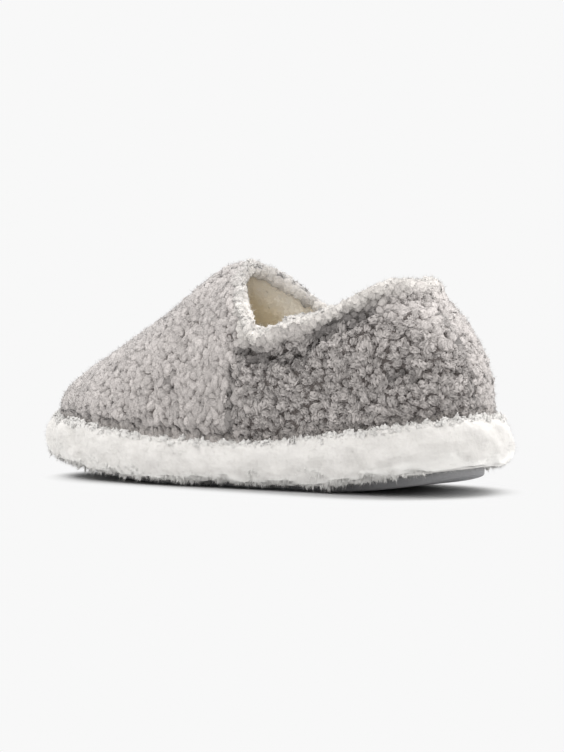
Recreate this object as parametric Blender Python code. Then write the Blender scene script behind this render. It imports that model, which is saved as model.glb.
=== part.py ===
"""A closed house shoe in curly plush, left foot: outsole, plush-wrapped midsole, insole and hollow upper.

Metres, +Z up, toe towards -Y, lateral side towards +X, standing on Z = 0.
Each piece is worked out from the footprint of the last, its side profile and the topline.
"""

import math
from collections import namedtuple

import bmesh
import bpy
import numpy as np
from mathutils import Matrix, Vector

MM = 0.001

# Driving sizes
LAST_LENGTH = 257 * MM  # upper at the feather line, heel to toe, plush included
HEEL_RADIUS = 31 * MM  # plan radius of the heel's back
TOE_RADIUS = 32 * MM  # plan radius of the toe's front
GAP = 0.3 * MM  # clearance between pieces that meet

# Sole
OUTSOLE_THICKNESS = 5 * MM
OUTSOLE_INSET = 4.5 * MM  # outsole edge inside the feather line
OUTSOLE_EDGE_ROUND = 1.2 * MM
HEEL_LIFT = 9 * MM  # rise of the outsole at the very back
HEEL_LIFT_SHARE = 0.27  # share of the length over which the heel lifts
TOE_SPRING = 9 * MM  # rise of the outsole at the toe tip
TOE_SPRING_SHARE = 0.36
ROCKER_POWER = 1.7

# Plush wrap of the midsole
WRAP_REACH_HEEL = 9.5 * MM  # how far the plush bulges past the feather line
WRAP_REACH_TOE = 7 * MM
WRAP_WIDEST = 0.42  # share of the plush's height at which it is widest
WRAP_TOP = 0.1  # share of the bulge left at the plush's top edge, and below at its underside
WRAP_UNDER = 0.35
WRAP_ROUNDNESS = 0.85  # power of the bulge's rounding, 1 is a half circle
WRAP_GIRTH = 1.4  # length of the bulging side for each unit of its height
WRAP_TUCK = 1 * MM  # the flat top starts this far inside the feather line
FRINGE_FRONT = 3.6 * MM  # how far the pile hangs down past the outsole's top
FRINGE_HEEL = 0.2 * MM
FRINGE_SHARE = 0.35  # share of the length, from the heel, over which the fringe grows
LOCK_PITCH = 15 * MM  # spacing of the pile's locks along the edge
LOCK_DEPTH = 1.0 * MM
LOCK_TURNS = (0.2, 0.2 + math.pi / 3, 0.2 + 2 * math.pi / 3)  # directions of the honeycomb

# Insole
INSOLE_THICKNESS = 5 * MM
INSOLE_DISH = 1.5 * MM  # its edge stands this much above its middle
INSOLE_DISH_REACH = 10 * MM  # width of the raised edge
INSOLE_EDGE_ROUND = 1.5 * MM
INSOLE_TOE_CLEAR = 7 * MM  # how far it stops short of the wall under the low toe
INSOLE_TOE_ANGLE = 150.0  # degrees round from the heel, where it starts to stop short

# Upper
WALL = 7 * MM  # curly plush, backing and fleece lining together
WALL_STAND = 0.45  # share of its height over which the wall stands up from the feather line
WALL_EXCESS = 1.1  # length up the curved wall for each unit of its height
RIM_RISE = 0.35 * WALL  # how far the round of the top edge stands above it
CREASE_WIDTH = 8 * MM  # of the dip under the rolled collar
SEAM_DEPTH = 1.4 * MM
SEAM_WIDTH = 5 * MM
SEAM_RADIUS = 0.42 * LAST_LENGTH  # turns degrees round the heel into a length along the wall
BACK_SEAM_ANGLE = 0.0
SIDE_SEAM_ANGLE = 87.0  # degrees round from the heel, where vamp and quarter are sewn

# Mesh density
UPPER_COLUMNS = 48  # for each side, heel to toe
WRAP_COLUMNS = 80
SOLE_COLUMNS = 48
WRAP_ROWS = 11
OUTER_ROWS = 18
RIM_ROWS = 3
INNER_ROWS = 9
OUTER_CROWDING = 1.35  # powers that crowd the rows towards the top edge
INNER_CROWDING = 1.2

# Half widths of the feather line, by share of the length from heel to toe (mm)
Width = namedtuple("Width", "share lateral medial")
FOOTPRINT = (
    Width(0.12, 30.5, 30.5),
    Width(0.25, 34.5, 33.0),
    Width(0.45, 39.5, 32.5),
    Width(0.65, 45.0, 42.0),
    Width(0.80, 41.0, 42.5),
    Width(0.92, 29.5, 32.0),
)

# Height of the feather line above the floor (mm)
Height = namedtuple("Height", "share feather")
FEATHER = (
    Height(0.00, 37.5),
    Height(0.15, 31.5),
    Height(0.30, 26.2),
    Height(0.46, 22.0),
    Height(0.60, 22.8),
    Height(0.70, 24.5),
    Height(0.85, 27.6),
    Height(1.00, 30.5),
)

# Top edge of the upper, by angle round the footprint: the rolled collar from the heel to the
# side corner, then the vamp's edge up to the throat (mm). out and down lead the wall away from
# that edge, and swell leads it up from the feather line. roll is the height of the rolled edge,
# bead how far it stands out, crease the depth of the dip below it.
Top = namedtuple("Top", "angle x y z out down swell roll bead crease")
TOPLINE = (
    Top(0, 0.0, 93.0, 103.0, 16.0, 18.0, 4.0, 11.0, 2.0, 2.0),
    Top(38, 25.0, 79.5, 99.8, 12.0, 18.0, 3.5, 12.0, 2.0, 2.2),
    Top(54, 35.5, 62.0, 89.0, 9.0, 17.0, 3.0, 12.0, 2.2, 2.4),
    Top(68, 39.0, 40.0, 83.5, 8.0, 16.0, 3.0, 14.5, 2.8, 3.4),
    Top(80, 39.5, 21.0, 78.0, 8.0, 14.0, 3.0, 14.0, 2.6, 2.6),
    Top(86, 37.0, 13.5, 84.5, 9.0, 13.0, 3.0, 11.0, 1.0, 0.2),
    Top(94, 26.0, 1.0, 98.0, 14.0, 11.0, 2.5, 8.0, 0.4, 0.0),
    Top(98, 15.0, -7.0, 106.5, 20.0, 9.0, 2.2, 8.0, 0.2, 0.0),
    Top(102, 0.0, -11.0, 110.5, 27.0, 6.0, 2.0, 8.0, 0.0, 0.0),
)

MEDIAL_COLLAR = 0.93  # the collar stands closer to the middle on the inner side of the foot

# Ridge of the vamp, from the throat to the toe (mm)
Ridge = namedtuple("Ridge", "angle y z out swell")
RIDGE = (
    Ridge(102, -11.0, 110.5, 27.0, 2.0),
    Ridge(108, -21.0, 108.5, 27.0, 2.0),
    Ridge(120, -46.0, 91.5, 27.0, 2.0),
    Ridge(140, -77.0, 72.5, 23.0, 2.0),
    Ridge(160, -97.5, 61.0, 17.0, 2.0),
    Ridge(180, -104.0, 57.0, 16.0, 2.0),
)
THROAT_ANGLE = 102.0


def through(keys, values, at, level_ends=False):
    """A smooth curve through a table's rows, with tangents from the neighbouring rows."""
    keys = np.asarray(keys, float)
    values = np.asarray(values, float)
    slopes = np.gradient(values, keys)
    if level_ends:
        slopes[[0, -1]] = 0.0
    i = np.clip(np.searchsorted(keys, at, side="right") - 1, 0, len(keys) - 2)
    step = keys[i + 1] - keys[i]
    s = (at - keys[i]) / step
    start = (1 + 2 * s) * (1 - s) ** 2 * values[i] + s * (1 - s) ** 2 * step * slopes[i]
    end = s * s * (3 - 2 * s) * values[i + 1] + s * s * (s - 1) * step * slopes[i + 1]
    return start + end


def column(table, name):
    return [getattr(row, name) for row in table]


def share_of(angle):
    """Share of the length, heel to toe, at an angle in degrees round from the heel."""
    return (1 - math.cos(math.radians(angle))) / 2


def along(share):
    """Y of a share of the length, with the sole's middle near Y = 0."""
    return LAST_LENGTH * (0.5 - share)


def roundness(share):
    """Half width of an ellipse of unit half width, which rounds both ends of the footprint."""
    return 2 * math.sqrt(max(share * (1 - share), 0.0))


def half_width(share, side):
    """Half width of the feather line. side is +1 lateral, -1 medial."""
    ends = [math.sqrt(radius * LAST_LENGTH / 2) for radius in (HEEL_RADIUS, TOE_RADIUS)]
    widths = column(FOOTPRINT, "lateral" if side > 0 else "medial")
    fullness = [w * MM / roundness(row.share) for w, row in zip(widths, FOOTPRINT)]
    keys = [0.0, *column(FOOTPRINT, "share"), 1.0]
    return roundness(share) * through(keys, [ends[0], *fullness, ends[1]], share)


def feather_height(share):
    return through(column(FEATHER, "share"), column(FEATHER, "feather"), share) * MM


def rocker(share):
    """Height of the outsole's bottom: flat under heel and forefoot, lifted at both ends."""
    heel = max(0.0, 1 - share / HEEL_LIFT_SHARE) ** ROCKER_POWER
    toe = max(0.0, 1 - (1 - share) / TOE_SPRING_SHARE) ** ROCKER_POWER
    return HEEL_LIFT * heel + TOE_SPRING * toe


def feather_point(angle, side):
    share = share_of(angle)
    return Vector((side * half_width(share, side), along(share), feather_height(share)))


def outline_normal(angle, side):
    """Outward direction of the footprint in plan."""
    small = 0.5
    if angle < small:
        return Vector((0, 1, 0))
    if angle > 180 - small:
        return Vector((0, -1, 0))
    run = feather_point(angle + small, side) - feather_point(angle - small, side)
    return Vector((-run.y, run.x, 0)).normalized() * side


def even_angles(count):
    """Angles from heel to toe, evenly spaced along the edge between the side seam and the throat."""
    fine = np.linspace(0, 180, 721)
    points = np.array([feather_point(a, 1)[:2] for a in fine])
    run = np.concatenate([[0], np.cumsum(np.linalg.norm(np.diff(points, axis=0), axis=1))])
    angles = [0.0]
    left = count
    for end in (SIDE_SEAM_ANGLE, THROAT_ANGLE, 180.0):
        start, stop = np.interp([angles[-1], end], fine, run)
        steps = left if end == 180 else round(count * (stop - start) / run[-1])
        angles += list(np.interp(np.linspace(start, stop, steps + 1)[1:-1], run, fine)) + [end]
        left -= steps
    return angles


def round_the_edge(count):
    """(angle, side) all round: lateral heel to toe, then medial toe to heel."""
    angles = even_angles(count)
    lateral = [(a, 1) for a in angles]
    medial = [(a, -1) for a in angles[-2:0:-1]]
    return lateral + medial


def new_face(bm, corners):
    """A face on its different corners. There is none where a corner is missing or too few differ."""
    different = [v for k, v in enumerate(corners) if v not in corners[:k]]
    if None not in different and len(different) > 2:
        bm.faces.new(different)


def grid_faces(bm, rows):
    """Quads between neighbouring rows of vertices that run round the shoe."""
    for lower, upper in zip(rows, rows[1:]):
        for i in range(len(lower)):
            j = (i + 1) % len(lower)
            new_face(bm, [lower[i], lower[j], upper[j], upper[i]])


def ladder(bm, row):
    """Closes a row that runs round the shoe with strips from the lateral to the medial edge."""
    half = len(row) // 2
    for i in range(half):
        facing = len(row) - i
        new_face(bm, [row[i], row[i + 1], row[facing - 1], row[facing % len(row)]])


def finished(bm, name, colour, roughness):
    """One named object with its own material, smooth shaded, its faces pointing out."""
    bmesh.ops.recalc_face_normals(bm, faces=bm.faces[:])
    mesh = bpy.data.meshes.new(name)
    bm.to_mesh(mesh)
    bm.free()
    mesh.shade_smooth()
    mesh.set_sharp_from_angle(angle=math.radians(50))
    material = bpy.data.materials.new(name)
    material.use_nodes = True
    shader = material.node_tree.nodes["Principled BSDF"]
    shader.inputs["Base Color"].default_value = (*colour, 1.0)
    shader.inputs["Roughness"].default_value = roughness
    mesh.materials.append(material)
    made = bpy.data.objects.new(name, mesh)
    bpy.context.scene.collection.objects.link(made)
    return made


def offset_point(angle, side, out, z):
    p = feather_point(angle, side) + outline_normal(angle, side) * out
    return Vector((p.x, p.y, z))


def make_outsole():
    """Thin rubber sheet with a rounded edge, inset under the plush."""
    edge = round_the_edge(SOLE_COLUMNS)
    r = OUTSOLE_EDGE_ROUND
    profile = (  # (inset from the edge, height above the bottom)
        (r, 0.0),
        (0.3 * r, 0.3 * r),
        (0.0, r),
        (0.0, OUTSOLE_THICKNESS),
    )
    bm = bmesh.new()
    rows = []
    for inset, height in profile:
        row = []
        for angle, side in edge:
            z = rocker(share_of(angle)) + height
            row.append(bm.verts.new(offset_point(angle, side, -OUTSOLE_INSET - inset, z)))
        rows.append(row)
    grid_faces(bm, rows)
    ladder(bm, rows[0])
    ladder(bm, rows[-1])
    return finished(bm, "outsole", (0.07, 0.07, 0.075), 0.6)


def wrap_reach(share):
    return WRAP_REACH_HEEL + (WRAP_REACH_TOE - WRAP_REACH_HEEL) * share


def fringe(share):
    """How far the pile hangs down over the outsole's edge."""
    grown = min(1.0, share / FRINGE_SHARE)
    return FRINGE_HEEL + (FRINGE_FRONT - FRINGE_HEEL) * grown * grown * (3 - 2 * grown)


def lock_swell(run, rise, girth):
    """Locks of the pile: rounded swells on a warped honeycomb, along the edge and up the side."""
    a = run / LOCK_PITCH + 0.35 * math.sin(run / (1.9 * LOCK_PITCH))
    b = rise * girth / LOCK_PITCH + 0.3 * math.sin(run / (1.3 * LOCK_PITCH) + 1.0)
    waves = [math.cos(2 * math.pi * (a * math.cos(t) + b * math.sin(t))) for t in LOCK_TURNS]
    return LOCK_DEPTH * sum(waves) / len(waves) * math.sin(math.pi * rise) ** 0.5


def make_midsole():
    """Foam midsole wrapped in long white pile: a bulging side, a flat top and a fringe below."""
    edge = round_the_edge(WRAP_COLUMNS)
    points = [feather_point(a, s) for a, s in edge]
    runs = [0.0]
    for p, q in zip(points, points[1:]):
        runs.append(runs[-1] + (q - p).length)
    bm = bmesh.new()
    rows = []
    for k in range(WRAP_ROWS):
        rise = k / (WRAP_ROWS - 1)
        turn = math.pi * (rise - 0.5)  # from the underside's edge round to the top's edge
        stretch, root = (1 - WRAP_WIDEST, WRAP_TOP) if turn > 0 else (WRAP_WIDEST, WRAP_UNDER)
        bulge = root + (1 - root) * max(0.0, math.cos(turn)) ** WRAP_ROUNDNESS
        row = []
        for (angle, side), run in zip(edge, runs):
            share = share_of(angle)
            low = rocker(share) + OUTSOLE_THICKNESS - fringe(share)
            height = feather_height(share) - low
            out = wrap_reach(share) * bulge + lock_swell(run, rise, WRAP_GIRTH * height)
            z = low + height * (WRAP_WIDEST + stretch * math.sin(turn))
            row.append(bm.verts.new(offset_point(angle, side, out, z)))
        rows.append(row)
    top = []
    seat = []
    for angle, side in edge:
        share = share_of(angle)
        top.append(bm.verts.new(offset_point(angle, side, -WRAP_TUCK, feather_height(share))))
        z = rocker(share) + OUTSOLE_THICKNESS + GAP
        seat.append(bm.verts.new(offset_point(angle, side, -OUTSOLE_INSET + GAP, z)))
    grid_faces(bm, [seat, *rows, top])
    ladder(bm, seat)
    ladder(bm, top)
    return finished(bm, "midsole", (0.83, 0.81, 0.78), 0.95)


def make_insole():
    """Padded fleece sock lying on the midsole, inside the wall of the upper."""
    edge = round_the_edge(SOLE_COLUMNS)
    profile = (  # (inset from the wall, height above the midsole)
        (0.0, GAP),
        (0.0, INSOLE_THICKNESS + INSOLE_DISH - INSOLE_EDGE_ROUND),
        (INSOLE_EDGE_ROUND, INSOLE_THICKNESS + INSOLE_DISH),
        (INSOLE_DISH_REACH, INSOLE_THICKNESS),
    )
    bm = bmesh.new()
    rows = []
    for inset, height in profile:
        row = []
        for angle, side in edge:
            z = feather_height(share_of(angle)) + height
            toe = max(0.0, (angle - INSOLE_TOE_ANGLE) / (180 - INSOLE_TOE_ANGLE))
            short = INSOLE_TOE_CLEAR * toe * toe
            row.append(bm.verts.new(offset_point(angle, side, -WALL - 2 * GAP - short - inset, z)))
        rows.append(row)
    grid_faces(bm, rows)
    ladder(bm, rows[0])
    ladder(bm, rows[-1])
    return finished(bm, "insole", (0.80, 0.74, 0.64), 0.95)


def top_row(angle, name):
    """A column of the topline, or of the ridge in front of the throat."""
    if angle < THROAT_ANGLE:
        value = through(column(TOPLINE, "angle"), column(TOPLINE, name), angle, name != "x")
    elif name in Ridge._fields:
        value = through(column(RIDGE, "angle"), column(RIDGE, name), angle)
    else:
        value = getattr(TOPLINE[-1], name)
    return float(value) * MM


def top_point(angle, side):
    """Point on the collar, the vamp's edge or the vamp's ridge."""
    x = 0.0 if angle >= THROAT_ANGLE else max(0.0, top_row(angle, "x"))
    x *= 1.0 if side > 0 else -MEDIAL_COLLAR
    return Vector((x, top_row(angle, "y"), top_row(angle, "z")))


def ridge_slope(angle):
    """Rise of the vamp's ridge for each step towards the heel."""
    step = 0.5
    low, high = top_point(min(180.0, angle + step), 1), top_point(max(THROAT_ANGLE, angle - step), 1)
    return (high.z - low.z) / (high.y - low.y)


def lead_out(angle, side, base, top):
    """Level direction in which the wall leaves its top edge: square to the sole, then off the ridge."""
    across = Vector((base.x - top.x, base.y - top.y, 0)).normalized()
    turned = (angle - SIDE_SEAM_ANGLE) / (THROAT_ANGLE - SIDE_SEAM_ANGLE)
    return outline_normal(angle, side).lerp(across, min(1.0, max(0.0, turned))).normalized()


def plain_wall(angle, side, v):
    """Outer face of the wall without its relief. v runs from the feather line up to the top edge."""
    base = feather_point(angle, side)
    base.z += GAP
    top = top_point(angle, side)
    lead = lead_out(angle, side, base, top)
    stand = Vector((0, 0, WALL_STAND * (top.z - base.z)))
    low = base + outline_normal(angle, side) * top_row(angle, "swell") + stand
    high = top + lead * top_row(angle, "out")
    if angle < THROAT_ANGLE:
        high.z -= top_row(angle, "down")
    else:
        high.z += (high.y - top.y) * ridge_slope(angle)  # both sides meet level on the ridge
    u = 1 - v
    return u**3 * base + 3 * u * u * v * low + 3 * u * v * v * high + v**3 * top


def wall_normal(angle, side, v):
    """Outward normal of the plain wall, the same from both sides on the ridge of the vamp."""
    if v == 1 and angle >= THROAT_ANGLE:
        both = side_normal(angle, 1, v) + side_normal(angle, -1, v)
        return Vector((0, both.y, both.z)).normalized()
    return side_normal(angle, side, v)


def side_normal(angle, side, v):
    da, dv = 0.6, 0.02
    up = plain_wall(angle, side, min(1.0, v + dv)) - plain_wall(angle, side, max(0.0, v - dv))
    if angle < da:
        run = plain_wall(da, 1, v) - plain_wall(da, -1, v)
        return up.cross(run).normalized()
    if angle > 180 - da:
        run = plain_wall(180 - da, -1, v) - plain_wall(180 - da, 1, v)
        return up.cross(run).normalized()
    run = plain_wall(angle - da, side, v) - plain_wall(angle + da, side, v)
    return up.cross(run).normalized() * -side


def relief(angle, v):
    """Rolled collar, the crease under it, and the sewn seams, as a swell of the outer face."""
    rise = top_row(angle, "z") - feather_height(share_of(angle))
    below_top = (1 - v) * rise * WALL_EXCESS
    roll = top_row(angle, "roll")
    swell = 0.0
    if below_top < roll:
        swell += max(0.0, top_row(angle, "bead")) * math.sin(math.pi * below_top / roll) ** 0.7
    dip = (below_top - roll - 0.4 * CREASE_WIDTH) / (0.5 * CREASE_WIDTH)
    swell -= max(0.0, top_row(angle, "crease")) * math.exp(-dip * dip)
    for seam in (BACK_SEAM_ANGLE, SIDE_SEAM_ANGLE):
        arc = math.radians(angle - seam) * SEAM_RADIUS
        sewn = SEAM_DEPTH * math.exp(-((2 * arc / SEAM_WIDTH) ** 2))
        swell -= sewn * max(0.0, min(1.0, below_top / roll - 1.2))
    return swell


def make_upper():
    """One hollow wall: open at the collar and throat, and underneath."""
    edge = round_the_edge(UPPER_COLUMNS)
    outer_steps = [1 - (1 - k / OUTER_ROWS) ** OUTER_CROWDING for k in range(OUTER_ROWS + 1)]
    inner_steps = [1 - (1 - k / INNER_ROWS) ** INNER_CROWDING for k in range(INNER_ROWS, -1, -1)]
    bm = bmesh.new()
    placed = {}

    def vertex(point, angle, ridge=None):
        """A vertex of the wall. On a ridge of the vamp, which has a name, both sides share it."""
        if ridge is None or angle < THROAT_ANGLE:
            return bm.verts.new(point)
        key = (round(angle, 3), ridge)
        if key not in placed:
            placed[key] = bm.verts.new((0.0, point.y, point.z))
        return placed[key]

    def outer(angle, side, v):
        swell = relief(angle, v)
        return plain_wall(angle, side, v) + wall_normal(angle, side, v) * swell

    def rim(angle, side, turn):
        """Half round from the outer to the inner face of the top edge."""
        top = plain_wall(angle, side, 1.0)
        up = (top - plain_wall(angle, side, 0.97)).normalized()
        inward = wall_normal(angle, side, 1.0) * -WALL * 0.5
        return top + inward * (1 - math.cos(turn)) + up * RIM_RISE * math.sin(turn)

    def inner(angle, side, v):
        if v == 0:
            return offset_point(angle, side, -WALL, feather_height(share_of(angle)) + GAP)
        return plain_wall(angle, side, v) - wall_normal(angle, side, v) * WALL

    outer_rows = []
    for v in outer_steps:
        ridge = "outer" if v == 1 else None
        outer_rows.append([vertex(outer(a, s, v), a, ridge) for a, s in edge])
    rim_rows = []
    for k in range(1, RIM_ROWS):
        turn = math.pi * k / RIM_ROWS
        row = [None if a > THROAT_ANGLE else vertex(rim(a, s, turn), a, k) for a, s in edge]
        rim_rows.append(row)
    inner_rows = []
    for v in inner_steps:
        ridge = "inner" if v == 1 else None
        inner_rows.append([vertex(inner(a, s, v), a, ridge) for a, s in edge])
    grid_faces(bm, outer_rows)
    grid_faces(bm, [outer_rows[-1], *rim_rows, inner_rows[0]])
    grid_faces(bm, inner_rows)
    grid_faces(bm, [inner_rows[-1], outer_rows[0]])
    return finished(bm, "upper", (0.42, 0.40, 0.385), 0.95)


def centre_on_floor(pieces):
    """Puts the middle of the shoe's footprint over the origin, and its lowest point on the floor."""
    corners = np.array([v.co for piece in pieces for v in piece.data.vertices])
    low, high = corners.min(axis=0), corners.max(axis=0)
    middle = (low + high) / 2
    shift = Matrix.Translation((-middle[0], -middle[1], -low[2]))
    for piece in pieces:
        piece.data.transform(shift)


def main():
    for old in list(bpy.data.objects):
        bpy.data.objects.remove(old)
    centre_on_floor([make_outsole(), make_midsole(), make_insole(), make_upper()])


if __name__ == "__main__":
    main()
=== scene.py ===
import math

import bmesh
import bpy
import numpy as np
from mathutils import Matrix, Vector, noise
from mathutils.bvhtree import BVHTree
from mathutils.kdtree import KDTree


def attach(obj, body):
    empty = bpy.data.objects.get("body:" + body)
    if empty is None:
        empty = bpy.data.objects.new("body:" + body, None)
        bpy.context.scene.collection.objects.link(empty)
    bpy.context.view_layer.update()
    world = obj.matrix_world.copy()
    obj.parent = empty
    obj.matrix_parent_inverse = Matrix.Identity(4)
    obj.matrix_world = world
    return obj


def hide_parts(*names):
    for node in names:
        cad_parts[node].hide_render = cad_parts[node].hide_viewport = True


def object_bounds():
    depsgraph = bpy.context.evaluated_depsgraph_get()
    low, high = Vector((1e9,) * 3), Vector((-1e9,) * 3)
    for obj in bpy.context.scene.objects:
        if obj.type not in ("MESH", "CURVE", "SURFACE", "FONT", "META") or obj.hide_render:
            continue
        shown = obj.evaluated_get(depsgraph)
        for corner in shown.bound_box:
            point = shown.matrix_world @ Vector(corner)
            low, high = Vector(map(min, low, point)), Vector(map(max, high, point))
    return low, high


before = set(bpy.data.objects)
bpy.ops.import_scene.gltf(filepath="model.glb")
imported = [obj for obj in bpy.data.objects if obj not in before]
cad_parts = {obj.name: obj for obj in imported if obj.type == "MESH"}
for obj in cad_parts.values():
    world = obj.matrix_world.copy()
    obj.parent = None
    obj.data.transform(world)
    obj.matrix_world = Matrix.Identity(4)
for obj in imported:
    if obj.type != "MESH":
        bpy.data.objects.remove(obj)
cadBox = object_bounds()
mm = 0.001
print("frame loaded:", ", ".join(sorted(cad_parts)))


# Small helpers
def linear(hexText):
    parts = [int(hexText[i:i + 2], 16) / 255 for i in (1, 3, 5)]
    return [((p + 0.055) / 1.055) ** 2.4 if p > 0.04045 else p / 12.92 for p in parts] + [1.0]


def smooth(low, high, value):
    share = np.clip((value - low) / (high - low), 0, 1)
    return share * share * (3 - 2 * share)


def unit(rows):
    return rows / np.linalg.norm(rows, axis=-1, keepdims=True)


def addObject(name, data):
    piece = bpy.data.objects.new(name, data)
    bpy.context.scene.collection.objects.link(piece)
    return piece


def addNode(tree, kind, settings=(), links=()):
    node = tree.nodes.new("ShaderNode" + kind)
    for key, value in dict(settings).items():
        if key in node.inputs:
            node.inputs[key].default_value = value
        else:
            setattr(node, key, value)
    for key, socket in dict(links).items():
        tree.links.new(socket, node.inputs[key])
    return node


# Camera at the photo's angle
photo = {
    "longSide": 752,    # px
    "scale": 2.02,      # px per mm at the aim
    "distance": 1900,   # mm from the aim
    "aim": (0, 7, 53),  # mm, the point in the middle of the picture
    "azimuth": 128,     # degrees round from the toe
    "elevation": 3,
}


def fromAngles(azimuth, elevation):
    turn = math.radians(azimuth)
    lift = math.radians(elevation)
    return Vector((math.sin(turn) * math.cos(lift), -math.cos(turn) * math.cos(lift), math.sin(lift)))


def addCamera():
    back = fromAngles(photo["azimuth"], photo["elevation"])
    data = bpy.data.cameras.new("photoCamera")
    data.sensor_width = 36
    data.lens = data.sensor_width * photo["distance"] * photo["scale"] / photo["longSide"]
    camera = addObject("photoCamera", data)
    camera.location = (Vector(photo["aim"]) + photo["distance"] * back) * mm
    camera.rotation_euler = back.to_track_quat("Z", "Y").to_euler()
    bpy.context.scene.camera = camera


# Soft studio: an even sky, three wide soft lights and a white paper floor
studio = {
    "sky": 0.51,
    "backdrop": "#f8f8f8",
    "floorRadius": 4,  # m
    "lights": {        # azimuth, elevation, strength, spread in degrees
        "topLight": (150, 74, 2.0, 100),
        "heelLight": (242, 32, 2.0, 60),
        "toeLight": (14, 38, 1.25, 70),
    },
    "collarLight": {   # mm, and the cone in degrees
        "from": (528, 424, 166), "to": (-21.5, -14, 88.5), "watts": 25, "cone": 2.5, "size": 20,
    },
    "paperNear": {     # mm, round the sole's middle line
        # close to the sole the paper's colour is darkened, a painted shadow, before it turns to an even glow
        "middle": (8, 11), "halfLength": 74, "halfWidth": 50, "paintedShadow": (-15, 5), "shadow": (-8, 12),
        "paintedShadowShade": 0.75,
    },
}


def addStudio():
    scene = bpy.context.scene
    scene.view_settings.view_transform = "Standard"
    world = bpy.data.worlds.new("studioSky")
    world.use_nodes = True
    scene.world = world
    tree = world.node_tree
    tree.nodes.clear()
    glow = addNode(tree, "Background", {"Color": (1, 1, 1, 1), "Strength": studio["sky"]})
    backdrop = addNode(tree, "Background", {"Color": linear(studio["backdrop"]), "Strength": 1})
    seen = addNode(tree, "LightPath")
    both = addNode(tree, "MixShader", (), {"Fac": seen.outputs["Is Camera Ray"]})
    tree.links.new(glow.outputs[0], both.inputs[1])
    tree.links.new(backdrop.outputs[0], both.inputs[2])
    addNode(tree, "OutputWorld", (), {"Surface": both.outputs[0]})
    for name, (azimuth, elevation, strength, spread) in studio["lights"].items():
        data = bpy.data.lights.new(name, "SUN")
        data.energy = strength
        data.angle = math.radians(spread)
        lamp = addObject(name, data)
        lamp.rotation_euler = fromAngles(azimuth, elevation).to_track_quat("Z", "Y").to_euler()
    addCollarLight()
    bm = bmesh.new()
    bmesh.ops.create_circle(bm, cap_ends=True, segments=96, radius=studio["floorRadius"])
    mesh = bpy.data.meshes.new("paperFloor")
    bm.to_mesh(mesh)
    bm.free()
    floor = addObject("paperFloor", mesh)
    floor.data.materials.append(paperMaterial())


# A narrow soft light through the collar onto the lining
def addCollarLight():
    look = studio["collarLight"]
    data = bpy.data.lights.new("collarLight", "SPOT")
    data.energy = look["watts"]
    data.spot_size = math.radians(look["cone"])
    data.spot_blend = 1
    data.shadow_soft_size = look["size"] * mm
    lamp = addObject("collarLight", data)
    lamp.location = Vector(look["from"]) * mm
    lamp.rotation_euler = (Vector(look["from"]) - Vector(look["to"])).to_track_quat("Z", "Y").to_euler()


# Matt paper: no gloss, and a shade that these lights bring up to the backdrop's, so that no horizon shows.
# Away from the shoe it glows evenly, as overlit paper does, so that only the close shadow is left; close to
# the sole a painted shadow darkens its colour.
def paperMaterial():
    material = bpy.data.materials.new("mattPaper")
    material.use_nodes = True
    tree = material.node_tree
    shader = tree.nodes["Principled BSDF"]
    lights = studio["lights"].values()
    light = studio["sky"] + sum(lamp[2] * math.sin(math.radians(lamp[1])) for lamp in lights) / math.pi
    shader.inputs["Roughness"].default_value = 1
    shader.inputs["Specular IOR Level"].default_value = 0
    near = studio["paperNear"]
    reach = near["halfLength"] * mm
    place = addNode(tree, "TexCoord")
    middle = [part * mm for part in near["middle"]] + [0]
    fromSole = addNode(tree, "VectorMath", {"operation": "SUBTRACT"})
    tree.links.new(place.outputs["Object"], fromSole.inputs[0])
    fromSole.inputs[1].default_value = middle
    parts = addNode(tree, "SeparateXYZ", (), {"Vector": fromSole.outputs[0]})
    alongSole = addNode(tree, "Clamp", {"Min": -reach, "Max": reach}, {"Value": parts.outputs[1]})
    past = addNode(tree, "Math", {"operation": "SUBTRACT"})
    tree.links.new(parts.outputs[1], past.inputs[0])
    tree.links.new(alongSole.outputs[0], past.inputs[1])
    offset = addNode(tree, "CombineXYZ", (), {"X": parts.outputs[0], "Y": past.outputs[0]})
    gap = addNode(tree, "VectorMath", {"operation": "LENGTH"}, {"Vector": offset.outputs[0]})
    # painted shadow: the paper's colour is darkened close to the sole
    fades = []
    for key, least in (("paintedShadow", near["paintedShadowShade"]), ("shadow", 0)):
        start, end = ((near["halfWidth"] + edge) * mm for edge in near[key])
        fades.append(addNode(tree, "MapRange", {
            "interpolation_type": "SMOOTHSTEP", "From Min": start, "From Max": end, "To Min": least,
        }, {"Value": gap.outputs["Value"]}))
    paintedShadow, fade = fades
    white = [part / light for part in linear(studio["backdrop"])[:3]] + [1]
    paper = addNode(tree, "MixRGB", {"blend_type": "MULTIPLY", "Fac": 1, "Color1": white},
                    {"Color2": paintedShadow.outputs[0]})
    tree.links.new(paper.outputs[0], shader.inputs["Base Color"])
    glow = addNode(tree, "Emission", {"Color": linear(studio["backdrop"])})
    both = addNode(tree, "MixShader", (), {"Fac": fade.outputs[0]})
    tree.links.new(shader.outputs[0], both.inputs[1])
    tree.links.new(glow.outputs[0], both.inputs[2])
    tree.links.new(both.outputs[0], tree.nodes["Material Output"].inputs["Surface"])
    return material
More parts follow.
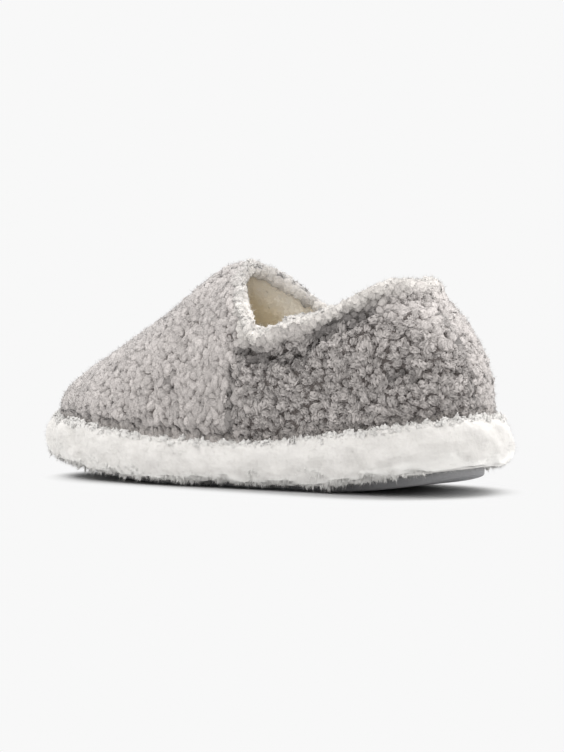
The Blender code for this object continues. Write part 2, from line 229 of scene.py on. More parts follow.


# Polyester plush: matt curled fibres, with painted shade between the curls, and a pale glow where it is seen
# edge on.
# Fibres are 0.02 mm and too fine to show, so the frizz is drawn at frizzSize mm.
plushFinish = {
    "roughness": 0.92, "ior": 1.54, "specular": 0.15, "sheenRoughness": 0.4, "bump": 0.7,
    "rise": (0.2, 0.95),         # painted shade: heights in the pile between which the dark root turns to tip colour
    "grainRange": (0.3, 0.7),    # the part of the noise that shows
    "speckShadeRange": (0.55, 0.95),  # heights between which the painted speckled shade fades
    "tipSpeckShade": 0.4,            # what is left of them at the tips
}
# Each look's root colour is painted shade low in the pile, between the curls
greyPlush = {
    "name": "greyTeddyPlush",
    "root": "#837b77", "tip": "#e1dad6", "second": "#e9e4de",
    "shade": (0.3, 1.2), "grain": (0.5, 1.25), "frizzSize": 1.0, "frizzDepth": 0.8, "sheen": 0.4,
}
# The white's second colour is painted light, on the wrap's lower side and on its wisps
whitePlush = {
    "name": "whiteTeddyPlush",
    "root": "#d8d5d0", "tip": "#e6e3df", "second": "#fbf9f5",
    "shade": (0.96, 1.03), "grain": (0.96, 1.03), "frizzSize": 1.6, "frizzDepth": 0.4, "sheen": 0.2,
}
# The cream's second colour is painted shade, deeper inside the upper and on the insole
creamFleece = {
    "name": "creamFleece",
    "root": "#dfd3bc", "tip": "#f8f2e7", "second": "#d6c7a8",
    "shade": (0.9, 1.05), "grain": (0.93, 1.04), "frizzSize": 1.3, "frizzDepth": 0.6, "sheen": 0.3,
}


def plushMaterial(look):
    material = bpy.data.materials.new(look["name"])
    material.use_nodes = True
    tree = material.node_tree
    shader = tree.nodes["Principled BSDF"]
    shader.inputs["Roughness"].default_value = plushFinish["roughness"]
    shader.inputs["IOR"].default_value = plushFinish["ior"]
    shader.inputs["Specular IOR Level"].default_value = plushFinish["specular"]
    shader.inputs["Sheen Weight"].default_value = look["sheen"]
    shader.inputs["Sheen Roughness"].default_value = plushFinish["sheenRoughness"]
    # pile holds each point's height from root to tip, the low part getting the dark root colour as painted
    # shade, its fibre's shade and its share of the second colour
    pile = addNode(tree, "Attribute", {"attribute_name": "pile"})
    parts = addNode(tree, "SeparateColor", (), {"Color": pile.outputs["Color"]})
    place = addNode(tree, "TexCoord")
    frizzScale = 1 / (look["frizzSize"] * mm)
    frizz = addNode(tree, "TexNoise", {"Scale": frizzScale, "Detail": 3, "Roughness": 0.6},
                    {"Vector": place.outputs["Object"]})
    low, high = plushFinish["rise"]
    rise = addNode(tree, "MapRange", {"From Min": low, "From Max": high}, {"Value": parts.outputs[0]})
    body = addNode(tree, "MixRGB", {"Color1": linear(look["root"]), "Color2": linear(look["tip"])},
                   {"Fac": rise.outputs[0]})
    mixed = addNode(tree, "MixRGB", {"Color2": linear(look["second"])},
                    {"Fac": parts.outputs[2], "Color1": body.outputs[0]})
    shade = addNode(tree, "MapRange", {"To Min": look["shade"][0], "To Max": look["shade"][1]},
                    {"Value": parts.outputs[1]})
    low, high = plushFinish["grainRange"]
    grain = addNode(tree, "MapRange", {"From Min": low, "From Max": high,
                                       "To Min": look["grain"][0], "To Max": look["grain"][1]},
                    {"Value": frizz.outputs[0]})
    # painted shade: low in the pile the frizz darkens the colour in fine speckles, and at the tips it fades
    low, high = plushFinish["speckShadeRange"]
    depth = addNode(tree, "MapRange", {"From Min": low, "From Max": high,
                                       "To Min": 1, "To Max": plushFinish["tipSpeckShade"]},
                    {"Value": parts.outputs[0]})
    speckShade = addNode(tree, "MixRGB", {"Color1": (1, 1, 1, 1)},
                     {"Fac": depth.outputs[0], "Color2": grain.outputs[0]})
    level = addNode(tree, "MixRGB", {"blend_type": "MULTIPLY", "Fac": 1},
                    {"Color1": shade.outputs[0], "Color2": speckShade.outputs[0]})
    colour = addNode(tree, "MixRGB", {"blend_type": "MULTIPLY", "Fac": 1},
                     {"Color1": mixed.outputs[0], "Color2": level.outputs[0]})
    bump = addNode(tree, "Bump", {"Strength": plushFinish["bump"], "Distance": look["frizzDepth"] * mm},
                   {"Height": frizz.outputs[0]})
    tree.links.new(colour.outputs[0], shader.inputs["Base Color"])
    tree.links.new(bump.outputs[0], shader.inputs["Normal"])
    return material


# Thermoplastic rubber: dull mid grey with a fine moulded grit that catches a little light
rubberLook = {
    "dark": "#929294", "light": "#b0b0b2", "ior": 1.52, "roughness": (0.55, 0.8), "bump": 0.4,
    "gritSize": 0.8,  # mm, coarser than the real 0.3 mm so that it shows
    "gritDepth": 0.15,
}


def rubberMaterial():
    material = bpy.data.materials.new("mouldedRubber")
    material.use_nodes = True
    tree = material.node_tree
    shader = tree.nodes["Principled BSDF"]
    shader.inputs["IOR"].default_value = rubberLook["ior"]
    place = addNode(tree, "TexCoord")
    grit = addNode(tree, "TexNoise", {"Scale": 1 / (rubberLook["gritSize"] * mm), "Detail": 4},
                   {"Vector": place.outputs["Object"]})
    dark, light = linear(rubberLook["dark"]), linear(rubberLook["light"])
    tone = addNode(tree, "MixRGB", {"Color1": dark, "Color2": light}, {"Fac": grit.outputs[0]})
    least, most = rubberLook["roughness"]
    dull = addNode(tree, "MapRange", {"To Min": least, "To Max": most}, {"Value": grit.outputs[0]})
    bump = addNode(tree, "Bump", {"Strength": rubberLook["bump"], "Distance": rubberLook["gritDepth"] * mm},
                   {"Height": grit.outputs[0]})
    tree.links.new(tone.outputs[0], shader.inputs["Base Color"])
    tree.links.new(dull.outputs[0], shader.inputs["Roughness"])
    tree.links.new(bump.outputs[0], shader.inputs["Normal"])
    return material


# A merged copy of a CAD node, in metres
def nodeCopy(name):
    bm = bmesh.new()
    bm.from_mesh(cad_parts[name].data)
    bmesh.ops.remove_doubles(bm, verts=bm.verts, dist=0.02 * mm)
    bm.normal_update()
    return bm


def nodeTree(name):
    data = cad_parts[name].data
    return BVHTree.FromPolygons([v.co[:] for v in data.vertices], [p.vertices[:] for p in data.polygons])


def patchOf(bm, wanted):
    faces = [f for f in bm.faces if wanted(f.calc_center_median(), f.normal)]
    corners = np.array([[v.co[:] for v in f.verts] for f in faces])
    normals = np.array([[v.normal[:] for v in f.verts] for f in faces])
    sides = corners[:, 1:] - corners[:, :1]
    areas = np.linalg.norm(np.cross(sides[:, 0], sides[:, 1]), axis=1) / 2
    return corners, normals, areas


# Points over a patch that keep their distance from each other
triesPerSpot = 14


def scatter(patch, spacing, seed):
    rng = np.random.default_rng(seed)
    corners, normals, areas = patch
    tries = int(triesPerSpot * areas.sum() / spacing ** 2)
    pick = rng.choice(len(areas), tries, p=areas / areas.sum())
    across, along = rng.random((2, tries))
    over = across + along > 1
    across[over] = 1 - across[over]
    along[over] = 1 - along[over]
    weights = np.stack([1 - across - along, across, along], 1)[:, :, None]
    places = (corners[pick] * weights).sum(1)
    outs = unit((normals[pick] * weights).sum(1))
    cells = np.floor(places / spacing).astype(int).tolist()
    points = places.tolist()
    steps = [(i, j, k) for i in (-1, 0, 1) for j in (-1, 0, 1) for k in (-1, 0, 1)]
    taken = {}
    kept = []
    for n, (cell, point) in enumerate(zip(cells, points)):
        near = (taken.get((cell[0] + i, cell[1] + j, cell[2] + k)) for i, j, k in steps)
        if all(math.dist(point, other) > spacing for group in near if group for other in group):
            taken.setdefault(tuple(cell), []).append(point)
            kept.append(n)
    return places[kept], outs[kept]


# Soft unevenness from -1 to 1 with the given wavelength in mm
def waves(places, wavelength, shift):
    return np.array([noise.noise(Vector(p) / (wavelength * mm) + Vector((shift, 0, 0))) for p in places])


# Tufts are made of short fat fibres, each a closed spindle of six faces.
# A tuft is about one unit in radius and one unit high, and stands on its backing at zero.
tuft = {
    "middle": 0.3,         # height of the ball that the fibres lie on
    "ball": 0.78,
    "half": (0.36, 0.62),  # half the length of a fibre
    "wide": (0.2, 0.36),
    "flat": 0.7,           # a fibre's thickness as a share of its width
    "stray": 0.45,
    "turn": 2.4,           # radians from one fibre to the next
    "ownShade": 0.13,
    "top": 0.95,           # height of the first fibre on the ball
    "span": 1.15,          # how much lower the last one lies
}
wisp = {"half": (0.35, 0.55), "wide": (0.22, 0.34), "apart": (0.1, 0.5), "fan": (0.05, 0.5)}


def addFibre(bm, place, out, along, wide, half):
    across = out.cross(along).normalized()
    out = along.cross(across)
    shape = Matrix((across * wide, out * wide * tuft["flat"], along * half)).transposed().to_4x4()
    shape.translation = place
    bmesh.ops.create_uvsphere(bm, u_segments=3, v_segments=2, radius=1, matrix=shape)


# Fibres wound round a core of the given radius, or combed along it
def curlShape(seed, fibres, combed, core, fat=1.0):
    rng = np.random.default_rng(seed)
    bm = bmesh.new()
    middle = Vector((0, 0, tuft["middle"]))
    if core:
        cuts = 2 if core > tuft["ball"] else 1
        bmesh.ops.create_icosphere(bm, subdivisions=cuts, radius=core, matrix=Matrix.Translation(middle))
    coreCount = len(bm.verts)
    for n in range(fibres):
        turn = tuft["turn"] * n + rng.normal(0, tuft["stray"])
        height = tuft["top"] - tuft["span"] * n / fibres
        level = math.sqrt(1 - height ** 2)
        out = Vector((level * math.cos(turn), level * math.sin(turn), height))
        lie = Vector((1, 0, 0)) if combed else Vector((-math.sin(turn), math.cos(turn), 0))
        along = lie + Vector(rng.normal(0, tuft["stray"], 3))
        along = (along - out * along.dot(out)).normalized()
        wide = fat * rng.uniform(*tuft["wide"])
        addFibre(bm, middle + out * tuft["ball"], out, along, wide, rng.uniform(*tuft["half"]))
    return tuftArrays(bm, coreCount, rng)


# Fibres that stand up and fan out from one root
def wispShape(seed, fibres):
    rng = np.random.default_rng(seed)
    bm = bmesh.new()
    for n in range(fibres):
        turn = tuft["turn"] * n + rng.normal(0, tuft["stray"])
        side = Vector((math.cos(turn), math.sin(turn), 0))
        along = (Vector((0, 0, 1)) + side * rng.uniform(*wisp["fan"])).normalized()
        half = rng.uniform(*wisp["half"])
        place = side * rng.uniform(*wisp["apart"]) + along * half
        addFibre(bm, place, side, along, rng.uniform(*wisp["wide"]), half)
    return tuftArrays(bm, 0, rng)


# Each tuft as points, faces and a tone that holds a point's height, which gives the low points painted root
# shade, and its fibre's own shade
def tuftArrays(bm, coreCount, rng):
    bm.verts.index_update()
    points = np.array([v.co[:] for v in bm.verts])
    faces = np.array([[v.index for v in f.verts] for f in bm.faces])
    bm.free()
    fibrePoints = 5
    fibres = (len(points) - coreCount) // fibrePoints
    tone = np.zeros((len(points), 2))
    tone[:, 0] = np.clip(points[:, 2], 0, 1)
    tone[coreCount:, 1] = np.repeat(rng.uniform(-tuft["ownShade"], tuft["ownShade"], fibres), fibrePoints)
    return points, faces, tone


# One mesh of many copies: each row of spots has a place, an outward and a lengthwise way and three sizes
def joinCopies(name, shapes, pick, spots, limit=None):
    out = unit(spots["out"])
    along = unit(spots["along"] - out * (spots["along"] * out).sum(1, keepdims=True))
    across = np.cross(out, along)
    basis = np.stack([along, across, out], 2) * spots["size"][:, None, :]
    allPoints, allFaces, allPile, allCloth, allSoft = [], [], [], [], []
    start = 0
    for n, (points, faces, tone) in enumerate(shapes):
        rows = np.flatnonzero(pick == n)
        moved = np.einsum("mij,vj->mvi", basis[rows], points) + spots["place"][rows][:, None, :]
        first = start + np.arange(len(rows))[:, None, None] * len(points)
        pile = np.ones((len(rows), len(points), 4))
        lift = spots["lift"][rows][:, None]
        pile[:, :, 0] = lift + (1 - lift) * tone[:, 0]
        pile[:, :, 1] = np.clip(spots["shade"][rows][:, None] + tone[:, 1], 0, 1)
        pile[:, :, 2] = spots["second"][rows][:, None]
        allPoints.append(moved.reshape(-1, 3))
        allFaces.append((faces[None] + first).reshape(-1, 3))
        allPile.append(pile.reshape(-1, 4))
        allCloth.append(np.repeat(spots["cloth"][rows], len(points), 0))
        allSoft.append(np.repeat(spots["soft"][rows], len(points)))
        start += len(rows) * len(points)
    points = np.concatenate(allPoints)
    if limit:
        limit(points)
    mesh = meshFromArrays(name, points, np.concatenate(allFaces), np.concatenate(allPile))
    softenShading(mesh, np.concatenate(allCloth), np.concatenate(allSoft)[:, None])
    return mesh


# Light spreads through a pile, so its fibres are shaded partly as the cloth that they stand on
def softenShading(mesh, cloth, soft):
    normals = np.empty(len(mesh.vertices) * 3, np.float32)
    mesh.vertex_normals.foreach_get("vector", normals)
    normals = normals.reshape(-1, 3)
    mesh.normals_split_custom_set_from_vertices(unit((1 - soft) * normals + soft * cloth))


plainPile = {"height": 0.8, "shade": 0.5}


# The same height and shade all over, with a share of the second colour
def evenPile(count, second):
    return np.tile((plainPile["height"], plainPile["shade"], second, 1.0), (count, 1))


def addPile(mesh, pile):
    layer = mesh.attributes.new("pile", "FLOAT_COLOR", "POINT")
    layer.data.foreach_set("color", pile.astype(np.float32).ravel())


def meshFromArrays(name, points, faces, pile):
    mesh = bpy.data.meshes.new(name)
    mesh.vertices.add(len(points))
    mesh.vertices.foreach_set("co", points.astype(np.float32).ravel())
    mesh.loops.add(faces.size)
    mesh.loops.foreach_set("vertex_index", faces.astype(np.int32).ravel())
    mesh.polygons.add(len(faces))
    mesh.polygons.foreach_set("loop_start", np.arange(0, faces.size, 3, dtype=np.int32))
    addPile(mesh, pile)
    mesh.update(calc_edges=True)
    mesh.shade_smooth()
    return mesh


# Loose fibres: thin closed spikes that start on the tufts of a mesh
spike = {
    "above": 0.45,      # lowest height in the pile that they start at
    "rootDepth": 0.15,  # mm
    "floorGap": 0.2,    # mm
    "turns": (0, 2.094, 4.189),
    # painted shade at the loose fibres' roots
    "rootPaintedShade": 0.75,
}


def frizzMesh(name, tufts, count, fibre, seed):
    rng = np.random.default_rng(seed)
    total = len(tufts.vertices)
    points = np.empty(total * 3, np.float32)
    normals = np.empty(total * 3, np.float32)
    pile = np.empty(total * 4, np.float32)
    tufts.vertices.foreach_get("co", points)
    tufts.vertex_normals.foreach_get("vector", normals)
    tufts.attributes["pile"].data.foreach_get("color", pile)
    points, normals, pile = points.reshape(-1, 3), normals.reshape(-1, 3), pile.reshape(-1, 4)
    pick = rng.choice(np.flatnonzero(pile[:, 0] > spike["above"]), count)
    lean = rng.normal(0, fibre["stray"], (count, 3)) + (0, 0, -fibre["droop"])
    way = unit(normals[pick] + lean)
    side = unit(np.cross(way, rng.normal(0, 1, (count, 3))))
    other = np.cross(way, side)
    root = points[pick] - normals[pick] * spike["rootDepth"] * mm
    tip = root + way * (rng.uniform(*fibre["length"], (count, 1)) * mm)
    wide = fibre["radius"] * mm
    ring = [root + (side * math.cos(turn) + other * math.sin(turn)) * wide for turn in spike["turns"]]
    spikes = np.stack(ring + [tip], 1).reshape(-1, 3)
    spikes[:, 2] = np.maximum(spikes[:, 2], spike["floorGap"] * mm)
    one = np.array([[0, 2, 1], [0, 1, 3], [1, 2, 3], [2, 0, 3]])
    faces = (one[None] + np.arange(count)[:, None, None] * 4).reshape(-1, 3)
    tone = np.repeat(pile[pick], 4, 0)
    tone[:, 0] = np.tile([spike["rootPaintedShade"]] * 3 + [1.0], count)
    mesh = meshFromArrays(name, spikes, faces, tone)
    softenShading(mesh, np.repeat(normals[pick], 4, 0), fibre["soft"])
    return mesh


faceCounts = []


def finishPiece(name, mesh, material, nodes=()):
    piece = addObject(name, mesh)
    mesh.materials.append(material)
    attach(piece, "root")
    if nodes:
        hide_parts(*nodes)
    faceCounts.append(len(mesh.polygons))
    print(f"{name}: {faceCounts[-1]} faces, {sum(faceCounts)} so far")
    return piece


# Soft creases, seams and hollows of the upper, as lines on its outer side in mm. Curls and backing in them
# are also painted darker, a painted shade.
creases = {
    "underCollar": {
        "line": ((41, 13, 66), (40, 28, 63), (40, 48, 64), (39, 56, 73), (35, 69, 82), (27, 82, 86)),
        "depth": 2.0, "width": 3.4, "mirrored": True,
    },
    "foldFront": {
        "line": ((41.3, 17, 65.5), (41, 20, 64.5)),
        "depth": 2.5, "width": 2.2, "mirrored": False,
    },
    "foldMiddle": {
        "line": ((39.8, 30, 64.5), (39.5, 33, 64.5)),
        "depth": 3.3, "width": 2.2, "mirrored": False,
    },
    "foldBack": {
        "line": ((40.4, 46, 65), (40.2, 49, 67)),
        "depth": 3.3, "width": 2.4, "mirrored": False,
    },
    "sideSeam": {
        "line": ((40.5, 6, 60), (40, 6, 47), (39.5, 5.7, 38), (38.5, 4.8, 26)),
        "depth": 2.0, "width": 1.9, "mirrored": True,
    },
    "backSeam": {
        "line": ((2, 104, 92), (3, 115, 77), (5, 122, 62), (4, 126.5, 48), (2, 127, 38)),
        "depth": 2.0, "width": 1.9, "mirrored": False,
    },
    "heelHollow": {
        "line": ((33, 94, 56), (30, 103, 60), (27, 108, 56)),
        "depth": 1.6, "width": 2.8, "mirrored": False,
    },
    "vampHollow": {
        "line": ((41.5, -32, 52), (41.5, -31, 49)),
        "depth": 2.2, "width": 2.3, "mirrored": False,
    },
}
innerSide = -0.95  # the inner side's share of the outer side's width
lineSteps = 20     # points on a line for each of its corners


def creaseDepth(places):
    depth = np.zeros(len(places))
    for crease in creases.values():
        corners = np.array(crease["line"], float)
        ways = [corners]
        if crease["mirrored"]:
            ways.append(corners * (innerSide, 1, 1))
        for way in ways:
            reach = np.arange(len(way))
            fine = np.linspace(0, len(way) - 1, lineSteps * len(way))
            points = np.stack([np.interp(fine, reach, way[:, axis]) for axis in range(3)], 1)
            gaps = np.linalg.norm(places[:, None, :] / mm - points[None], axis=2).min(1)
            depth = np.maximum(depth, crease["depth"] * np.exp(-(gaps / crease["width"]) ** 2))
    return depth


# Upper: outer faces look away from a curtain hung from a line through the foot's room, inner ones towards it
upperPile = {
    "roomLine": ((-95, 42), (-40, 50), (0, 60), (85, 65)),  # mm, y and height
    "underside": -0.65,      # faces that look down more than this are the wall's lower edge
    "seamY": 5.7,            # mm, where vamp meets quarter
    "pileDepth": 1.9,        # mm from the curls' tips to the backing
    "shallow": 0.5,          # share of that depth where the gaps are shallow
    "rootDepth": 1.0,        # mm below the backing
    "liningDepth": 0.5,      # mm
    "liningRoom": 3.4,       # mm of the wall that creases leave to the lining
    "wallMost": 12.0,        # mm, the wall isn't measured further
    "fleece": 1.2,           # mm of the wall that no curl comes through
    "fleeceFrom": 1.5,       # turn-ins from the crest, where that begins
    "fleeceReach": 5,        # mm from the lining, where curls are checked for it
    "hole": 2.3,             # mm, creases deeper than this hold no curls
    "spacing": 2.8,          # mm
    "hemSpacing": 2.6,       # mm
    "crestLeast": 60,        # mm, the crest of collar and throat lies higher than this
    "rimFull": 8.0,          # mm from the collar's crest, all pale
    "rimEnd": 15.0,          # mm from the collar's crest, all grey
    "throatShare": 0.45,     # the throat's pale edge is narrower than the collar's
    "throatFrom": (12, -2),  # mm, y where the collar's edge turns to the throat's
    "turnIn": 6.2,           # mm that the plush is turned in over the rim
    "crestGap": 0.9,         # mm inside the crest, and before the turned-in edge, without curls
    "deep": (11, 28),        # mm from the crest, where the lining goes from unshaded to painted shade
    "rimShadeLift": 0.4,          # how much more the painted root shade is lifted on the rim
    "shallowShadeLift": 0.6,      # and where the gaps are shallow
    "soft": 0.75,
    "frizz": 12000,          # loose fibres on each of its four pieces
    "fibre": {"length": (1.2, 2.8), "radius": 0.12, "stray": 0.9, "droop": 0.1, "soft": 0.8},
}


def outwardness(places, outs):
    line = np.array(upperPile["roomLine"])
    y = np.clip(places[:, 1] / mm, line[0, 0], line[-1, 0])
    z = np.minimum(np.interp(y, line[:, 0], line[:, 1]), places[:, 2] / mm)
    room = np.stack([np.zeros(len(y)), y, z], 1) * mm
    return ((places - room) * outs).sum(1)


def faceOutwardness(centre, normal):
    return outwardness(np.array([centre[:]]), np.array([normal[:]]))[0]


# How deep the gaps are, and how much painted root shade shows in them: least at the toe, on top and at the
# back of the heel, most on the quarter
gapDepth = {
    "toe": 0.35, "vamp": 0.3, "quarter": 0.35,          # each adds to the one before
    "vampFrom": (-105, -35), "quarterFrom": (-10, 25),  # mm, y
    "top": 0.45, "heelBack": 0.7,                       # shares that are taken off
    "upwards": (0.35, 0.8), "inwards": (0.2, -0.35), "backwards": (0.2, 0.9),  # where the pile looks
}


def reliefAt(places, outs):
    y = places[:, 1] / mm
    along = gapDepth["toe"] + gapDepth["vamp"] * smooth(*gapDepth["vampFrom"], y)
    along = along + gapDepth["quarter"] * smooth(*gapDepth["quarterFrom"], y)
    top = smooth(*gapDepth["upwards"], outs[:, 2])
    heelBack = smooth(*gapDepth["inwards"], outs[:, 0]) * smooth(*gapDepth["backwards"], outs[:, 1])
    return along * (1 - gapDepth["top"] * top) * (1 - gapDepth["heelBack"] * heelBack)


# Thickness of the upper's wall in mm, as far as wallMost
def wallAt(places, outs):
    wall = nodeTree("upper")
    most = upperPile["wallMost"]
    start = 0.2  # mm below the face, so that the ray doesn't meet it
    deep = np.full(len(places), most)
    for n, (place, out) in enumerate(zip(places, outs)):
        gap = wall.ray_cast(Vector(place - out * start * mm), Vector(-out), most * mm)[3]
        if gap is not None:
            deep[n] = gap / mm + start
    return deep


def fromCrest(places, tree):
    return np.array([tree.find(p)[2] for p in places])


# One on the pale edge of the collar and throat, and nothing away from it
def rimShare(places, tree):
    share = 1 - (1 - upperPile["throatShare"]) * smooth(*upperPile["throatFrom"], places[:, 1] / mm)
    return 1 - smooth(upperPile["rimFull"], upperPile["rimEnd"], fromCrest(places, tree) / mm / share)


# Painted shade: the lining is painted darker and warmer deeper in from the rim, where less light reaches
def paintedDeepShade(places, tree):
    return smooth(*upperPile["deep"], fromCrest(places, tree) / mm)


# How far the painted root shade is lifted towards the pale tips, where the gaps are shallow and on the rim
def rootShadeLift(relief, rims):
    return upperPile["shallowShadeLift"] * (1 - relief) + upperPile["rimShadeLift"] * rims


# The backing shows in the gaps in the root colour, a painted shade, and is painted darker in creases
backing = {"shade": 0.6, "troughShade": 0.2, "rimPale": 0.8}


def upperShell(bm, outer, tree):
    places = np.array([v.co[:] for v in bm.verts])
    outs = np.array([v.normal[:] for v in bm.verts])
    trough = creaseDepth(places)
    rims = rimShare(places, tree)
    relief = reliefAt(places, outs)
    shallow = upperPile["shallow"]
    gaps = upperPile["pileDepth"] * (shallow + (1 - shallow) * relief)
    most = np.maximum(wallAt(places, outs) - upperPile["liningRoom"], 0)
    depths = np.where(outer, np.minimum(gaps + trough, most), upperPile["liningDepth"])
    for v, depth in zip(bm.verts, depths):
        push = v.normal * depth * mm
        push.z = max(push.z, 0)  # the lower edge stays down on the sole
        v.co -= push
    mesh = bpy.data.meshes.new("upperBacking")
    bm.to_mesh(mesh)
    # painted shade: the backing is darker in creases, and its lining side darker deeper in
    shade = np.clip(backing["shade"] - backing["troughShade"] * trough, 0, 1)
    tone = np.zeros((len(outer), 4))
    tone[:, 0] = np.where(outer, rootShadeLift(relief, rims), plainPile["height"])
    tone[:, 1] = np.where(outer, shade, plainPile["shade"])
    tone[:, 2] = np.where(outer, backing["rimPale"] * rims, paintedDeepShade(places, tree))
    addPile(mesh, tone)
    # the second material is the lining's
    isLining = [int(not any(outer[n] for n in face.vertices)) for face in mesh.polygons]
    mesh.polygons.foreach_set("material_index", isLining)
    mesh.shade_smooth()
    return mesh


# Points on the crest of the collar and throat, where outer turns to inner
def rimTree(bm, outer):
    bm.verts.index_update()
    crest = [(e.verts[0].co + e.verts[1].co) / 2 for e in bm.edges
             if outer[e.verts[0].index] != outer[e.verts[1].index]
             and e.verts[0].co.z > upperPile["crestLeast"] * mm]
    tree = KDTree(len(crest))
    for n, point in enumerate(crest):
        tree.insert(point, n)
    tree.balance()
    return tree


# Points along the upper's lower edge, for a close row of curls over the joint with the sole
def hemPoints(bm):
    places, outs = [], []
    for edge in bm.edges:
        sides = [f for f in edge.link_faces if f.normal.z >= upperPile["underside"]]
        if len(sides) != 1 or len(edge.link_faces) != 2:
            continue
        face = sides[0]
        if faceOutwardness(face.calc_center_median(), face.normal) <= 0:
            continue
        count = max(1, round(edge.calc_length() / (upperPile["hemSpacing"] * mm)))
        for n in range(count):
            places.append(edge.verts[0].co.lerp(edge.verts[1].co, (n + 0.5) / count)[:])
            outs.append(face.normal[:])
    return np.array(places), np.array(outs)


# Curls: a pair is for vamp and quarter, sizes are in mm and shades run from 0 to 1
curl = {
    "wide": (2.55, 2.1), "wider": (1.05, 1.4),  # the smallest, and what the biggest add
    "rimWide": 0.1,
    "fewBig": 1.5,              # the higher, the fewer big ones
    "low": 0.7,                 # below the full depth of pile and root
    "bigHigh": 1.4, "uneven": (-0.9, 0.2), "swellHigh": 0.5, "troughLow": 0.3,
    "swell": 11,                # mm, wavelength of the soft unevenness
    "innerRoot": -1.4,          # how much deeper the roots are, on the rim's inner side
    "rimRoot": 0.7,             # and on its outer side
    "hangFront": (-75, -25), "hangBack": (16, 2), "hangBelow": (78, 50),  # mm, y, y and height
    "hangSide": (0.2, 0.7),     # how far the pile looks sideways
    "hangLeast": 0.25, "hangStray": 0.4, "hangLong": (0.2, 0.9), "hangThin": 0.12,
    "freeLong": 0.7,
    # painted light and shade: the brightness by panel, on shallow places, on the rim, on swells and in
    # creases
    "shade": (0.62, 0.53), "shallowShade": (-0.12, 0.13), "rimShade": (-0.06, 0.06),
    "ownShade": 0.14, "swellShade": 0.12, "troughShade": 0.34,
    "vary": 0.4,                # share of the variety that is left where the gaps are shallow
    "stray": 0.3,
    "rimEven": 0.8,             # how much more even they are on the rim
    "rimPale": (0.75, 1),
    "crest": (4, 10),           # mm from the crest, where curls are shaded as if they looked up
    "tilt": 0.9, "up": 0.7, "innerTilt": 0.45,
    "innerSoft": 0.5, "rimSoft": 0.2, "shallowSoft": 0.1,
    "felted": (1.0, 0.65),      # relief from no felted curls to all of them
}


def curlSpots(places, outs, rims, crest, seed):
    rng = np.random.default_rng(seed)
    count = len(places)
    y, z = places[:, 1] / mm, places[:, 2] / mm
    isVamp = y < upperPile["seamY"]

    def byPanel(key):
        return np.where(isVamp, *curl[key])

    trough = creaseDepth(places)
    even = 1 - curl["rimEven"] * rims
    relief = reliefAt(places, outs) * even
    isInside = outwardness(places, outs) <= 0
    top = (1 - smooth(*curl["crest"], crest / mm)) * np.where(isInside, curl["innerTilt"], 1)
    swell = waves(places, curl["swell"], 3.1)
    down = np.array([0, 0, -1.0]) + rng.normal(0, curl["hangStray"], (count, 3))
    freely = rng.normal(0, 1, (count, 3))
    # long hanging curls on the vamp's side near the seam, round ones elsewhere
    hang = smooth(*curl["hangFront"], y) * smooth(*curl["hangBack"], y) * smooth(*curl["hangBelow"], z)
    hang = hang * smooth(*curl["hangSide"], np.abs(outs[:, 0]))
    along = np.where((hang > curl["hangLeast"])[:, None], down, freely)
    stretch = 1 + hang * rng.uniform(*curl["hangLong"], count)
    stretch = stretch + (1 - hang) * curl["freeLong"] * rng.random(count) ** 2
    stretch = 1 + (stretch - 1) * even
    big = rng.random(count) ** curl["fewBig"]
    wide = (byPanel("wide") + byPanel("wider") * big) * (1 + curl["rimWide"] * rims)
    level = curl["bigHigh"] * big + rng.uniform(*curl["uneven"], count) + curl["swellHigh"] * swell
    sink = upperPile["pileDepth"] + upperPile["rootDepth"]
    root = sink + trough + np.where(isInside, curl["innerRoot"], curl["rimRoot"] * rims)
    root = np.minimum(root, wallAt(places, outs) - upperPile["liningRoom"])
    high = sink - curl["low"] + relief * level - curl["troughLow"] * trough
    vary = curl["vary"] + (1 - curl["vary"]) * relief
    # Painted light and shade: each panel, its shallow places and its rim are lighter or darker for how light
    # falls on them, raised swells lighter, and curls in creases darker and less pale; the random part is each
    # curl's own tone
    shade = byPanel("shade") + byPanel("shallowShade") * (1 - relief)
    shade = shade + rng.uniform(-curl["ownShade"], curl["ownShade"], count) * vary
    shade = shade + curl["swellShade"] * swell - curl["troughShade"] * trough
    shade += byPanel("rimShade") * rims
    softer = np.maximum(curl["rimSoft"] * rims, curl["shallowSoft"] * (1 - relief))
    spots = {
        "place": places - outs * root[:, None] * mm,
        "out": outs + rng.normal(0, curl["stray"], (count, 3)) * vary[:, None],
        "cloth": unit(outs * (1 - curl["tilt"] * top)[:, None] + curl["up"] * top[:, None] * (0, 0, 1)),
        "along": along,
        "size": np.stack([wide * stretch, wide * (1 - curl["hangThin"] * hang), high], 1) * mm,
        "shade": np.clip(shade, 0, 1),
        "second": rims * rng.uniform(*curl["rimPale"], count) * np.exp(-trough),
        "lift": rootShadeLift(relief, rims),
        "soft": np.where(isInside, curl["innerSoft"], upperPile["soft"] + softer),
    }
    return spots, rng.random(count) < smooth(*curl["felted"], relief)


# Moves points that would come out through the lining back into the wall
def liningLimit(patch, tree):
    corners = patch[0].reshape(-1, 3)
    inner = BVHTree.FromPolygons(corners.tolist(), np.arange(len(corners)).reshape(-1, 3).tolist())
    least = upperPile["fleece"] * mm
    clear = upperPile["fleeceFrom"] * upperPile["turnIn"] * mm
    reach = upperPile["fleeceReach"] * mm

    def keepInWall(points):
        for n, point in enumerate(points):
            place, normal, index, gap = inner.find_nearest(point, reach)
            if place and (place - Vector(point)).dot(normal) < least and tree.find(point)[2] > clear:
                points[n] = place - normal * least
    return keepInWall


